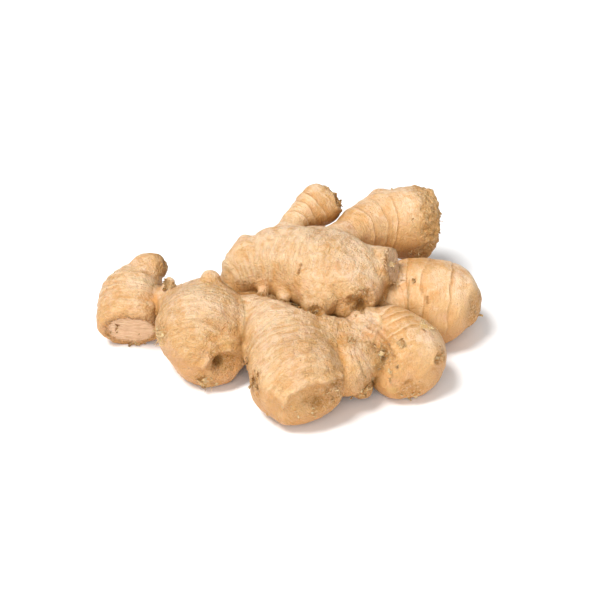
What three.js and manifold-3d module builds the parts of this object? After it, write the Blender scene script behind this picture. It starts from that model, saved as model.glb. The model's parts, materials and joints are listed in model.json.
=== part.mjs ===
// A hand of ginger: one rhizome whose fingers grew together, lying on its lowest lobes.
// Millimetres, +Z up. The origin is on the surface that it lies on, under the middle of its box.
// The lower chain runs from the knob on the left to the two lobes on the right. The upper branch
// leaves it beside the second lobe, passes over its back and forks into a stub and two fingers.

import * as THREE from "three";
import { mergeVertices } from "three/addons/utils/BufferGeometryUtils.js";
import Module from "manifold-3d";

// Driving dimensions.
const ORIGIN = [-0.2, -10]; // middle of the hand's box in the numbers of the skeleton below
const ROW = 7; // spacing of the plain rows along a finger
const CAP_ROWS = 4; // rows over a rounded end
const RING_RISE = 0.8; // height of the lip that a scale leaf left
const RING_HALF = 0.9; // half width of that lip
const LUMP = 0.025; // unevenness of a finger, as a share of its radius
const CORK = 0.9; // roughness of a corky tip
const CORK_REACH = 2; // how far back from its end a tip is corky
const WARTS = { finger: "back finger", from: 41, to: 55, count: 22, radius: 1.5, rise: 0.7 };
const ROOTLETS = { count: 12, radius: 1.1, length: 3.2, root: 2 }; // dry root stubs underneath
const ROOTLET_BEARERS = ["heart", "upper branch", "front lobe", "back lobe"];
const SEED = 20;

// The skeleton. line holds points of a finger's centre line and girth its radius at each of them.
// rings are the places of the scale-leaf lips, in mm from the first point. The start is buried in
// another finger unless the finger has a tail. A cut end is flat, any other is rounded over cap
// times its radius, and rough ends are corky.
const FINGERS = [
  {
    name: "left knob",
    line: [
      [-63.5, 11, 27],
      [-65.5, 7.5, 24],
      [-68, 4, 20],
      [-69.5, -1.5, 16.5],
      [-69.5, -8, 13.5],
      [-69.5, -13, 11.7],
    ],
    girth: [6.4, 8.6, 12, 14.8, 14.6, 11],
    rings: [6, 9, 12, 15.5, 19],
    tail: true,
    cut: true,
  },
  {
    name: "knob nub",
    line: [[-63.5, 10.5, 27], [-60.5, 10.5, 28.5], [-57.5, 11, 28]],
    girth: [6.2, 5.4, 3.8],
    tail: true,
  },
  {
    name: "left neck",
    line: [[-63, -3, 15], [-53, -6.5, 19], [-44, -12.5, 21.5]],
    girth: [9, 8.6, 11.5],
  },
  {
    name: "second lobe",
    line: [[-35, -8, 22], [-36, -17, 21.5], [-36.5, -25.5, 20]],
    girth: [10, 15, 19.5],
    rings: [5, 11],
    tail: true,
  },
  {
    name: "second lobe toe",
    line: [[-38, -22, 17], [-35, -31, 12]],
    girth: [13.5, 12.5],
  },
  {
    name: "front lobe",
    line: [[-15.5, -19.5, 24.5], [-6.5, -30, 22.5], [0, -41, 20.5], [4.3, -55, 18.9]],
    girth: [8, 12.5, 17, 19.6],
    rings: [6, 9.5, 12.5, 18.5, 22, 29],
    tail: true,
  },
  {
    name: "saddle",
    line: [[-2, -36, 22], [13.5, -37.5, 21], [26, -38, 20], [33, -33, 20]],
    girth: [14, 13, 11, 11.5],
  },
  {
    name: "heart",
    line: [
      [-40, -13, 20],
      [-20, -10, 16.5],
      [-6, -11, 16.5],
      [10, -10, 17],
      [26, -10, 17],
      [42, -4, 18],
    ],
    girth: [12, 11.5, 11.5, 12.5, 13, 14],
  },
  {
    name: "hidden finger",
    line: [[-1, -4, 18], [-4, 7, 11.5], [-6, 12, 8.2]],
    girth: [9, 8.6, 8.6],
    rings: [11],
  },
  {
    name: "side finger",
    line: [[15, -47.5, 18], [24, -49.5, 18.5], [30, -48.5, 20.5], [34.5, -49.5, 23]],
    girth: [11, 11.4, 8.8, 5.8],
    rings: [10, 15],
  },
  {
    name: "right lobe",
    line: [[32, -31, 20], [37, -27.5, 20], [44, -29.5, 18.5], [50, -39.5, 16.1]],
    girth: [9.5, 10.8, 13.2, 16.9],
    rings: [7, 12, 17, 23.5],
    tail: true,
  },
  {
    name: "back lobe",
    line: [[41, -4, 18], [54, 0.5, 17.2], [62.5, -1, 17.6], [73, -2, 16.8]],
    girth: [14.2, 16.8, 17.7, 15.4],
    rings: [12, 20.5, 29.5],
    cap: 0.75,
  },
  {
    name: "upper branch",
    line: [
      [-25, -3.5, 30.5],
      [-17.5, 1.5, 33],
      [-10, 2.5, 35],
      [-0.5, 1.5, 37],
      [10, -2.5, 37.5],
      [20.5, -7, 36.5],
      [28, -10.5, 35],
    ],
    girth: [5.6, 11, 13.4, 15.6, 17.8, 18.2, 14.5],
    rings: [4.5, 10.5, 17.5, 25],
    tail: true,
  },
  {
    name: "cut stub",
    line: [[25, -7, 38], [37, -3.6, 38.3], [45.5, -6.2, 40.6]],
    girth: [11, 8.5, 8],
    rings: [15, 18.5],
    cut: true,
  },
  { name: "scarred nub", line: [[24.5, -12, 37], [30, -18.5, 34.5]], girth: [12.5, 8.2] },
  {
    name: "back finger",
    line: [
      [14.5, 5.5, 38],
      [21, 13.5, 39],
      [27, 20.5, 39],
      [34, 28.5, 38],
      [43.5, 35, 35.8],
      [53, 38, 34.2],
      [57.5, 39.5, 33.5],
    ],
    girth: [11, 7.4, 6.6, 9.4, 12.8, 15.4, 15],
    rings: [26, 34, 41.5],
    cap: 0.55,
    rough: true,
  },
  {
    name: "top finger",
    line: [[-4, 5.5, 41], [0.5, 16, 43], [4.5, 25, 44], [10, 31, 45], [14, 35, 46]],
    girth: [8.8, 6.2, 5.4, 7.2, 9],
    rings: [24.5, 30],
    cap: 0.9,
    rough: true,
  },
];

// Ends that are flattened: beyond a plane through a point, facing out, the finger is planed away.
const FACETS = [
  { of: "second lobe", at: [-29.5, -40.5, 17], out: [0.42, -0.86, 0.2] },
  { of: "second lobe", at: [-49.6, -32.3, 10.7], out: [-0.75, -0.39, -0.53] },
  { of: "second lobe toe", at: [-29.5, -40.5, 15], out: [0.42, -0.86, 0.2] },
  { of: "front lobe", at: [11.5, -71.5, 18], out: [0.42, -0.88, 0.1] },
  { of: "right lobe", at: [52, -54, 15], out: [0.2, -0.95, 0.05] },
  { of: "back lobe", at: [79, -12, 20], out: [0.86, -0.5, 0.05] },
  { of: "back lobe", at: [84, 1.5, 21.5], out: [0.88, 0.28, 0.38] },
  { of: "back lobe", at: [81, -6, 11], out: [0.75, -0.39, -0.53] },
  { of: "back finger", at: [68.5, 33, 38], out: [0.93, -0.3, 0.15] },
];

// Buds, bumps and the stumps of old roots, each from a point inside a finger to its own tip.
const KNOBS = [
  { from: [-35, -13, 32], to: [-34, -11.5, 36.5], base: 6, tip: 4.2 }, // bud on the second lobe
  { from: [-18, 4, 41], to: [-18.5, 7.5, 43], base: 6.2, tip: 4 }, // bump on the upper branch
  { from: [42, 38, 42], to: [41.8, 42.5, 44.5], base: 7, tip: 5 }, // bump on the back finger
  { from: [13.5, -16, 35], to: [11, -28.5, 33.5], base: 10, tip: 5.4 }, // nub under the upper branch
  { from: [21.5, -16.5, 32.5], to: [25.5, -23.5, 30.5], base: 8.5, tip: 4.2 }, // and the one beside it
  { from: [-10.5, -6, 33], to: [-11.5, -13, 31], base: 3.6, tip: 1.8 }, // root stump
  { from: [-1.5, -10, 33.5], to: [-2, -18.5, 31.5], base: 5.4, tip: 2.4 }, // root stump
  { from: [-28, -22, 22], to: [-27, -31.5, 18], base: 11, tip: 8.8 }, // heel of the second lobe
  { from: [55, -30, 26], to: [58, -36, 30], base: 3.4, tip: 1.6 }, // bud between the right lobes
  { from: [27, -48, 12], to: [30.5, -49.5, 9.5], base: 6, tip: 4.6 }, // heel of the side finger
  { from: [-52.5, -2.5, 24], to: [-53, 0.5, 28], base: 4, tip: 2 }, // torn scales at the neck
  { from: [28, -2, 17], to: [32, 7, 15], base: 8, tip: 5.8 }, // knob on the hidden side
];

// How a knob narrows: its radius and height at each row, as shares of its base, tip and height.
const KNOB_PROFILE = [
  { base: 1, tip: 0, high: 0, dome: 0 },
  { base: 0.5, tip: 0.5, high: 0.55, dome: 0 },
  { base: 0, tip: 1, high: 0.9, dome: 0 },
  { base: 0, tip: 0.6, high: 1, dome: 0.35 },
  { base: 0, tip: 0, high: 1, dome: 0.5 },
];

// Scars where a stem came away, scooped out round a point of the skin, facing out along axis.
const SCARS = [
  { at: [-29.2, -41.2, 17], axis: [0.39, -0.89, 0.22], radius: 5, depth: 2.4 },
  { at: [11.5, -71.5, 18], axis: [0.42, -0.88, 0.1], radius: 13, depth: 1 },
  { at: [31.5, -28, 37], axis: [0, -0.93, 0.36], radius: 5.4, depth: 2.8 },
  { at: [64.5, -46, 24], axis: [0.85, -0.45, 0.3], radius: 4, depth: 1.2 },
];

const wasm = await Module();
wasm.setup();

// Seeded random numbers from 0 to 1.
let state = SEED;
function random() {
  state = (state + 0x6d2b79f5) | 0;
  let t = Math.imul(state ^ (state >>> 15), 1 | state);
  t = (t + Math.imul(t ^ (t >>> 7), 61 | t)) ^ t;
  return ((t ^ (t >>> 14)) >>> 0) / 2 ** 32;
}

// A closed geometry as a solid that can be joined and cut.
function solidOf(geometry) {
  geometry.deleteAttribute("normal");
  geometry.deleteAttribute("uv");
  const merged = mergeVertices(geometry, 1e-4);
  return new wasm.Manifold(
    new wasm.Mesh({
      numProp: 3,
      vertProperties: merged.attributes.position.array,
      triVerts: new Uint32Array(merged.index.array),
    }),
  );
}

// Smooth values between stations: a cubic through the points (places[i], values[i]).
function smooth(places, values) {
  const last = places.length - 1;
  const slope = values.map((_, i) => {
    const [a, b] = [Math.max(i - 1, 0), Math.min(i + 1, last)];
    return (values[b] - values[a]) / (places[b] - places[a]);
  });
  return (s) => {
    if (s <= places[0]) return values[0];
    if (s >= places[last]) return values[last];
    const i = places.findIndex((p) => p > s) - 1;
    const span = places[i + 1] - places[i];
    const u = (s - places[i]) / span;
    const rise = u * u * (3 - 2 * u);
    const lean = span * u * (1 - u) * ((1 - u) * slope[i] - u * slope[i + 1]);
    return values[i] + (values[i + 1] - values[i]) * rise + lean;
  };
}

function curveOf(line) {
  return new THREE.CatmullRomCurve3(line.map((p) => new THREE.Vector3(...p)), false, "centripetal");
}

// The centre line of a finger, with its length and its radius at any place along it.
function spine({ line, girth }) {
  const curve = curveOf(line);
  const steps = 40; // between one point of the line and the next
  // A second curve measures the stations, because a curve keeps the first division it is asked for.
  const lengths = curveOf(line).getLengths((line.length - 1) * steps);
  const radius = smooth(line.map((_, i) => lengths[i * steps]), girth);
  return { curve, length: curve.getLength(), radius };
}

// The place and outward direction at angle round a finger from its top, s along it, r from its middle.
function onFinger({ curve, length }, s, angle, r) {
  const inside = THREE.MathUtils.clamp(s / length, 0, 1);
  const axis = curve.getTangentAt(inside);
  const side = new THREE.Vector3().crossVectors(axis, new THREE.Vector3(0, 0, 1)).normalize();
  const top = new THREE.Vector3().crossVectors(side, axis);
  const out = side.multiplyScalar(Math.sin(angle)).addScaledVector(top, Math.cos(angle));
  const past = s - inside * length;
  const place = curve.getPointAt(inside).addScaledVector(axis, past).addScaledVector(out, r);
  return { place, out };
}

// Heights and radii of the rows over a rounded end, from its edge to its pole.
function capRows(radius, height) {
  return Array.from({ length: CAP_ROWS }, (_, i) => {
    const turn = ((i + 1) / CAP_ROWS) * (Math.PI / 2);
    const across = i + 1 === CAP_ROWS ? 0 : radius * Math.cos(turn);
    return new THREE.Vector2(across, height * Math.sin(turn));
  });
}

// More sides on a thicker finger: an even number from 8 to 18.
function sidesFor(widest) {
  return 2 * Math.round(THREE.MathUtils.clamp(2 + widest * 0.35, 4, 9));
}

// The rows of a finger's lathe, from its start to its end.
function profileOf({ girth, rings = [], tail = false, cut = false, cap = 1 }, { length, radius }) {
  const rows = Math.max(2, Math.round(length / ROW));
  const plain = Array.from({ length: rows + 1 }, (_, i) => (i / rows) * length);
  const clear = plain.filter((s) => rings.every((r) => Math.abs(r - s) > 1.6 * RING_HALF));
  const lips = rings.flatMap((r) => [r - RING_HALF, r, r + RING_HALF]);
  const places = [...clear, ...lips].sort((a, b) => a - b);
  const body = places.map((s) => new THREE.Vector2(radius(s) + (rings.includes(s) ? RING_RISE : 0), s));

  const start = girth[0];
  const end = girth[girth.length - 1];
  const flat = (s) => [new THREE.Vector2(0, s)];
  const rounded = (cap, s, way) => cap.map(({ x, y }) => new THREE.Vector2(x, s + way * y));
  const before = tail ? rounded(capRows(start, start), 0, -1) : flat(0);
  const after = cut ? flat(length) : rounded(capRows(end, cap * end), length, 1);
  return [...before.reverse(), ...body, ...after];
}

// A finger: a lathe turned from its girth and its rings, then bent along its centre line.
function finger(spec, index) {
  const frame = spine(spec);
  const sides = sidesFor(Math.max(...spec.girth));
  const geometry = new THREE.LatheGeometry(profileOf(spec, frame), sides);

  const position = geometry.getAttribute("position");
  const rows = position.count / (sides + 1);
  for (let i = 0; i < position.count; i++) {
    const s = position.getY(i);
    const column = Math.floor(i / rows) % sides;
    const angle = (column / sides) * 2 * Math.PI;
    const wave = Math.sin(2 * angle + index + s / 9) + 0.6 * Math.sin(3 * angle - 2 * index - s / 7);
    const corky = spec.rough && s > frame.length - CORK_REACH;
    const grain = corky ? CORK * Math.sin(5.1 * angle + 3 * s) : 0;
    const across = Math.hypot(position.getX(i), position.getZ(i));
    const r = across < 1e-6 ? 0 : across * (1 + LUMP * wave) + grain;
    position.setXYZ(i, ...onFinger(frame, s, angle, r).place);
  }
  const solid = solidOf(geometry);
  return FACETS.filter(({ of }) => of === spec.name).reduce(planed, solid);
}

// A solid without what lies beyond a facet's plane.
function planed(solid, { at, out }) {
  const inward = new THREE.Vector3(...out).normalize().negate();
  return solid.trimByPlane(inward.toArray(), inward.dot(new THREE.Vector3(...at)));
}

// A blunt cone from one point to another, for buds, stumps and root stubs.
function knob({ from, to, base, tip }) {
  const foot = new THREE.Vector3(...from);
  const way = new THREE.Vector3(...to).sub(foot);
  const height = way.length();
  const rows = KNOB_PROFILE.map(
    (row) => new THREE.Vector2(row.base * base + row.tip * tip, row.high * height + row.dome * tip),
  );
  const sides = 2 * Math.round(2.4 + tip / 1.6);
  const geometry = new THREE.LatheGeometry([new THREE.Vector2(0, 0), ...rows], sides);
  const turn = new THREE.Quaternion().setFromUnitVectors(new THREE.Vector3(0, 1, 0), way.normalize());
  return solidOf(geometry.applyQuaternion(turn).translate(...foot));
}

// What a scar takes away: a ball that stands out of the skin so far that depth of it is sunk.
function scoop({ at, axis, radius, depth }) {
  const out = new THREE.Vector3(...axis).normalize();
  const centre = new THREE.Vector3(...at).addScaledVector(out, radius - depth);
  return solidOf(new THREE.SphereGeometry(radius, 14, 9).translate(...centre));
}

// Warts scattered round the tip of one finger, from 0.7 to 1.3 times their usual radius.
function warts({ finger: name, from, to, count, radius, rise }) {
  const frame = spine(FINGERS.find((f) => f.name === name));
  return Array.from({ length: count }, () => {
    const s = THREE.MathUtils.lerp(from, to, random());
    const size = radius * THREE.MathUtils.lerp(0.7, 1.3, random());
    const angle = 2 * Math.PI * random();
    const { place } = onFinger(frame, s, angle, frame.radius(s) + rise - size);
    return solidOf(new THREE.SphereGeometry(size, 5, 3).rotateX(angle).translate(...place));
  });
}

// Dry root stubs on the undersides of the long fingers, pointing outwards and down.
function rootlets({ count, radius, length, root }) {
  const bearers = FINGERS.filter(({ name }) => ROOTLET_BEARERS.includes(name)).map(spine);
  return Array.from({ length: count }, (_, i) => {
    const frame = bearers[i % bearers.length];
    const s = frame.length * THREE.MathUtils.lerp(0.25, 0.85, random());
    const angle = Math.PI + THREE.MathUtils.lerp(-1.1, 1.1, random());
    const { place, out } = onFinger(frame, s, angle, frame.radius(s) - root);
    const far = place.clone().addScaledVector(out, length + root);
    return knob({ from: place.toArray(), to: far.toArray(), base: radius * 1.6, tip: radius });
  });
}

const grown = [...FINGERS.map(finger), ...KNOBS.map(knob), ...warts(WARTS), ...rootlets(ROOTLETS)];
const whole = grown.reduce((a, b) => a.add(b));
const scarred = SCARS.map(scoop).reduce((hand, hollow) => hand.subtract(hollow), whole);

// The low lobes rest on small flat spots.
const underfloor = new THREE.BoxGeometry(300, 300, 60).translate(0, 0, -30);
const made = scarred.subtract(solidOf(underfloor)).getMesh();

const geometry = new THREE.BufferGeometry();
geometry.setAttribute("position", new THREE.BufferAttribute(made.vertProperties, 3));
geometry.setIndex(new THREE.BufferAttribute(made.triVerts, 1));
geometry.translate(-ORIGIN[0], -ORIGIN[1], 0);
geometry.computeVertexNormals();

const skin = new THREE.MeshStandardMaterial({ color: 0xe3b98a, roughness: 0.62, metalness: 0 });
const rhizome = new THREE.Mesh(geometry, skin);
rhizome.name = "ginger_rhizome";

const part = new THREE.Group();
part.add(rhizome);
export default part;
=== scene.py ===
"""A hand of fresh ginger lying on a pale surface.

The rhizome is modelled finger by finger along the same skeleton as its solid, joined by a voxel
remesh, drawn onto the smooth joint surface of all its fingers, and then given its relief: ring
lips, lumps, stem scars, warts and corky tips. Loose root fibres and dry scales are pieces of
their own.
"""

import json
import math

import bpy
import numpy as np
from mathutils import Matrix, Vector
from mathutils.bvhtree import BVHTree

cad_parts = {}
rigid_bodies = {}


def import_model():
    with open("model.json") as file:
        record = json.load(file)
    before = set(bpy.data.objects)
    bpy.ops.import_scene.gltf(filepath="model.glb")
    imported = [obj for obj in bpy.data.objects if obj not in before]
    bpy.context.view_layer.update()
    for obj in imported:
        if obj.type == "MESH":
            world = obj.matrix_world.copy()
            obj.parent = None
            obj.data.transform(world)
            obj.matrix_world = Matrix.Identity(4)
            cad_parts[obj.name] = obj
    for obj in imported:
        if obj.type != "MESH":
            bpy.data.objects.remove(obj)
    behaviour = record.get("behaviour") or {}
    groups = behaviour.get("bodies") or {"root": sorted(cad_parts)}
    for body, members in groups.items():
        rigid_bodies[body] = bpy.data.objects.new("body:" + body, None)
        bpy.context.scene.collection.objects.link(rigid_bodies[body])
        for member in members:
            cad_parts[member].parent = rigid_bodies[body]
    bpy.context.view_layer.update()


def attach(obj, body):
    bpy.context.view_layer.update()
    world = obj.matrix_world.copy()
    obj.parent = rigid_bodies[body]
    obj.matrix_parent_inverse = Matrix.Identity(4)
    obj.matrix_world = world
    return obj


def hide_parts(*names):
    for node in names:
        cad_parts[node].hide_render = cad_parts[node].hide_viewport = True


bl_info = {
    "name": "Hand of Ginger",
    "version": (1, 0, 0),
    "blender": (4, 5, 0),
    "location": "3D View > Sidebar > Ginger",
    "description": "Models a ginger rhizome with its skin, root fibres and dry scales, and lights it",
    "category": "Add Mesh",
}

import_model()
NODE = "ginger_rhizome"

MM = 0.001  # the skeleton is in millimetres, and Blender's objects are in metres
ORIGIN = np.array([-0.2, -10.0, 0.0])  # middle of the hand's box in the skeleton's numbers
PER_SPAN = 40  # points of a finger's curve from one of its own points to the next
STEP = 0.7  # spacing of the samples along a finger, mm
SEED = 20

# The skeleton. path holds the points of a finger's centre line, each with the finger's radius there.
# rings are the places of the scale-leaf lips, in mm from the first point. firm says how high they
# are and crisp how sharp, both from 0 to 1. parent is the finger that it grows out of with a soft
# join, fillet mm wide, and its other neighbours meet it in a crease. cap is the length of the round
# end in radii, cut means a flat end instead, and cork is the length of a rough tip in mm. USUAL
# holds what a body that doesn't say otherwise has.
USUAL = dict(crisp=0.2, firm=0.5, cap=1, cut=False, cork=0, parent=None)
FINGERS = {
    "left knob": dict(
        path=[
            (-63.5, 11, 27, 6.4), (-65.5, 7.5, 24, 8.6), (-68, 4, 20, 12), (-69.5, -1.5, 16.5, 14.8),
            (-69.5, -8, 13.5, 14.6), (-69.5, -13, 11.7, 11),
        ],
        rings=[0, 3, 6, 9, 12, 15.5, 19], crisp=0.3, firm=0.7, cut=True,
    ),
    "knob nub": dict(
        path=[(-63.5, 10.5, 27, 6.2), (-60.5, 10.5, 28.5, 5.4), (-57.5, 11, 28, 3.8)],
        parent="left knob", rings=[1, 3.5, 6], cork=3,
    ),
    "left neck": dict(
        path=[(-63, -3, 15, 9), (-53, -6.5, 19, 8.6), (-44, -12.5, 21.5, 11.5)],
        parent="second lobe",
    ),
    "second lobe": dict(
        path=[(-35, -8, 22, 10), (-36, -17, 21.5, 15), (-36.5, -25.5, 20, 19.5)],
        rings=[-1, 2, 5, 8, 11, 14, 17], crisp=0, firm=0.5, parent="heart", fillet=7,
    ),
    "second lobe toe": dict(
        path=[(-38, -22, 17, 13.5), (-35, -31, 12, 12.5)],
        rings=[8, 12, 16, 20], crisp=0, firm=0.1, parent="second lobe", fillet=9,
    ),
    "front lobe": dict(
        path=[
            (-15.5, -19.5, 24.5, 8), (-6.5, -30, 22.5, 12.5), (0, -41, 20.5, 17),
            (4.3, -55, 18.9, 19.6),
        ],
        rings=[0, 3, 6, 9.5, 12.5, 15.5, 18.5, 22, 25.5, 29, 33], crisp=0.1, firm=0.6,
        parent="second lobe", fillet=7,
    ),
    "saddle": dict(
        path=[(-2, -36, 22, 14), (13.5, -37.5, 21, 13), (26, -38, 20, 11), (33, -33, 20, 11.5)],
        firm=0.3, crisp=0.1, parent="front lobe", fillet=8,
    ),
    "heart": dict(
        path=[
            (-40, -13, 20, 12), (-20, -10, 16.5, 11.5), (-6, -11, 16.5, 11.5), (10, -10, 17, 12.5),
            (26, -10, 17, 13), (42, -4, 18, 14),
        ],
        rings=[14, 18, 22, 26, 30, 34, 38, 47, 56, 66], crisp=0.1, firm=0.4, parent="front lobe",
        fillet=6,
    ),
    "hidden finger": dict(
        path=[(-1, -4, 18, 9), (-4, 7, 11.5, 8.6), (-6, 12, 8.2, 8.6)],
        rings=[7, 11, 15, 19], crisp=0.6, parent="heart",
    ),
    "side finger": dict(
        path=[
            (15, -47.5, 18, 11), (24, -49.5, 18.5, 11.4), (30, -48.5, 20.5, 8.8),
            (34.5, -49.5, 23, 5.8),
        ],
        rings=[5, 7.5, 10, 12.5, 15, 17.5, 20, 22.5], crisp=0.2, firm=0.6, parent="saddle", fillet=6,
        cork=3,
    ),
    "right lobe": dict(
        path=[
            (32, -31, 20, 9.5), (37, -27.5, 20, 10.8), (44, -29.5, 18.5, 13.2), (50, -39.5, 16.1, 16.9),
        ],
        rings=[4, 8.5, 13, 17.5, 23.5], crisp=0.8, firm=0.9, parent="saddle", fillet=5,
    ),
    "back lobe": dict(
        path=[(41, -4, 18, 14.2), (54, 0.5, 17.2, 16.8), (62.5, -1, 17.6, 17.7), (73, -2, 16.8, 15.4)],
        cap=0.75, rings=[3, 12, 20.5, 29.5], crisp=0.9, firm=0.65, parent="heart",
    ),
    "upper branch": dict(
        path=[
            (-25, -3.5, 30.5, 5.6), (-17.5, 1.5, 33, 11), (-10, 2.5, 35, 13.4), (-0.5, 1.5, 37, 15.6),
            (10, -2.5, 37.5, 17.8), (20.5, -7, 36.5, 18.2), (28, -10.5, 35, 14.5),
        ],
        rings=[1.5, 4.5, 7.5, 10.5, 14, 17.5, 21, 25, 36], crisp=0.1, firm=0.9, parent="heart",
    ),
    "cut stub": dict(
        path=[(25, -7, 38, 11), (37, -3.6, 38.3, 8.5), (45.5, -6.2, 40.6, 8)],
        rings=[15, 18.5], crisp=0.4, firm=0.5, cut=True, parent="upper branch",
    ),
    "scarred nub": dict(
        path=[(24.5, -12, 37, 12.5), (30, -18.5, 34.5, 8.2)],
        rings=[9, 12, 15], crisp=0, firm=0, parent="upper branch",
    ),
    "back finger": dict(
        path=[
            (14.5, 5.5, 38, 11), (21, 13.5, 39, 7.4), (27, 20.5, 39, 6.6), (34, 28.5, 38, 9.4),
            (43.5, 35, 35.8, 12.8), (53, 38, 34.2, 15.4), (57.5, 39.5, 33.5, 15),
        ],
        rings=[26, 34, 41.5], crisp=0.8, firm=0.7, cap=0.55, cork=11, parent="upper branch",
    ),
    "top finger": dict(
        path=[
            (-4, 5.5, 41, 8.8), (0.5, 16, 43, 6.2), (4.5, 25, 44, 5.4), (10, 31, 45, 7.2),
            (14, 35, 46, 9),
        ],
        rings=[18, 24.5, 30], crisp=0.7, firm=0.8, cap=0.9, cork=4, parent="upper branch",
    ),
}

# Buds, bumps and the stumps of old roots, from a point inside a finger to their own tip.
KNOBS = {
    "lobe bud": dict(path=[(-35, -13, 32, 6), (-34, -11.5, 36.5, 4.2)], parent="second lobe"),
    "branch bump": dict(path=[(-18, 4, 41, 6.2), (-18.5, 7.5, 43, 4)], parent="upper branch"),
    "finger bump": dict(path=[(42, 38, 42, 7), (41.8, 42.5, 44.5, 5)], parent="back finger"),
    "branch nub": dict(
        path=[(13.5, -16, 35, 10), (11, -28.5, 33.5, 5.4)],
        cap=0.6, parent="upper branch", fillet=5,
    ),
    "branch nub 2": dict(
        path=[(21.5, -16.5, 32.5, 8.5), (25.5, -23.5, 30.5, 4.2)],
        parent="upper branch", fillet=5,
    ),
    "stump 1": dict(path=[(-10.5, -6, 33, 3.6), (-11.5, -13, 31, 1.8)], parent="upper branch"),
    "stump 2": dict(path=[(-1.5, -10, 33.5, 5.4), (-2, -18.5, 31.5, 2.4)], parent="upper branch"),
    "right bud": dict(path=[(55, -30, 26, 3.4), (58, -36, 30, 1.6)], parent="back lobe"),
    "lobe heel": dict(path=[(-28, -22, 22, 11), (-27, -31.5, 18, 8.8)], parent="second lobe", fillet=7),
    "finger heel": dict(path=[(27, -48, 12, 6), (30.5, -49.5, 9.5, 4.6)], parent="side finger"),
    "neck scales": dict(path=[(-52.5, -2.5, 24, 4), (-53, 0.5, 28, 2)], parent="left neck"),
    "hidden knob": dict(path=[(28, -2, 17, 8), (32, 7, 15, 5.8)], parent="heart"),
}

# Scars where a stem came away: a sunk middle with a raised rim, round the nearest point of skin.
# stain is how brown a scar is, and ragged how uneven its outline.
SCARS = [
    dict(at=(-27, -42, 17), radius=9, depth=1.5, rim=0.9, stain=0.3),
    dict(at=(-29.5, -43, 17), radius=3.6, depth=3.2, rim=0.1),
    dict(at=(12, -74, 20), radius=9.5, depth=1.4, rim=0.3, stain=0.1),
    dict(at=(15, -73, 17), radius=5, depth=0.9, rim=0.2, stain=0.2),
    dict(at=(31, -29, 36.5), radius=6, depth=3.8, rim=0.9, ragged=0.4),
    dict(at=(63, -48, 22.6), radius=3, depth=1.1, rim=0.7),
    dict(at=(51, -56, 14.6), radius=2.2, depth=0.8, rim=0.5),
    dict(at=(10.5, -29.5, 32), radius=3.8, depth=1.1, rim=0.6),
    dict(at=(40.5, -49, 25), radius=3, depth=0.9, rim=0.6),
    dict(at=(26, -46.4, 29.5), radius=2, depth=0.9, rim=0.6),
    dict(at=(-12, -15, 30.5), radius=1.8, depth=0.8, rim=0.5, stain=0.8, ragged=0.4),
    dict(at=(-2, -21, 31), radius=2.6, depth=1.1, rim=0.6, stain=0.9, ragged=0.4),
    dict(at=(-56, 11, 29), radius=3, depth=0.8, rim=0.4),
    dict(at=(22, 33, 49), radius=4.5, depth=1.5, rim=0.6),
]

# Round places where the skin is broken and rough, each with its reach in mm.
ROUGH_PLACES = [
    ((-57, 11, 30), 5), ((-51.5, -5, 28), 5), ((-58, -14, 18), 6), ((-53, -34, 26), 6),
    ((-36, -43, 7), 7), ((-28, -43, 17), 8), ((-18, -50, 24), 4), ((-14, -64, 20), 8),
    ((16, -71, 18), 8), ((21, -66, 22), 7), ((11, -33, 32), 7), ((26, -27, 29.5), 5),
    ((31, -28, 38), 9), ((25, -46, 29), 5), ((38, -48, 24), 9), ((33, -57, 13), 6), ((50, -55, 9), 9),
    ((64, -46, 22), 6), ((82, -8, 18), 12), ((44, -9, 42), 9), ((-11.5, -15, 30.5), 3.5),
    ((-2, -21, 31), 4),
]

# Cracks (depth above 0) and raised welts (depth below 0): the line of each on the skin, its reach to
# either side, its depth and the height of its lips in mm, and how dark it is.
MARKS = [
    ([(5.2, -16.3, 48.3), (4.4, -18.4, 45)], 0.45, 0.9, 0.2, 1),
    ([(33.1, -37, 31.5), (38.1, -40.6, 30.3), (42.2, -47.8, 29.4)], 0.5, 1.0, 0.7, 0.5),
    ([(35.4, -34.9, 31.9), (40.7, -39.9, 31.4), (46.6, -48.9, 30.4)], 0.5, 0.8, 0.6, 0.4),
    ([(42.2, -47.8, 29.4), (44.6, -52.1, 26.4)], 0.5, 0.8, 0.5, 0.6),
    ([(-37, -44, 16), (-33.8, -44.4, 20), (-25.9, -41.1, 22.2), (-20, -38, 19)], 1.3, -1.2, -0.2, 0),
    (
        [
            (-2.3, -76.7, 19.5), (-0.3, -76.2, 25.3), (5, -74.8, 28.3), (15.2, -70.4, 27.9),
            (22.2, -64.1, 26.5),
        ],
        1.2, -1.1, -0.25, 0,
    ),
    ([(22.2, -64.1, 26.5), (23, -66, 19), (19.5, -68.4, 12.5)], 1.0, -0.8, -0.2, 0),
    ([(60, -16.5, 32), (60.3, -17.6, 28.5)], 0.5, 0.7, 0.2, 0.8),
    ([(-73, -12, 24), (-66, -13, 24.5), (-60, -11, 22)], 1.2, -0.8, -0.3, 0),
]


# ---- noise ----


def unit(vectors):
    """Vectors of length 1 that point the same way."""
    return vectors / np.linalg.norm(vectors, axis=-1, keepdims=True)


GRID = 256
PERMUTATION = np.random.default_rng(SEED).permutation(GRID)
GRADIENTS = unit(np.random.default_rng(SEED + 1).normal(size=(GRID, 3)))
NOISE_GAIN = 1.6  # brings gradient noise to about -1 to 1
SEED_SHIFT = 11.7  # how far apart the noises of two seeds are taken, in lumps
RIDGE = 0.35  # height of a ridge, which leaves the mean at about 0


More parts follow.
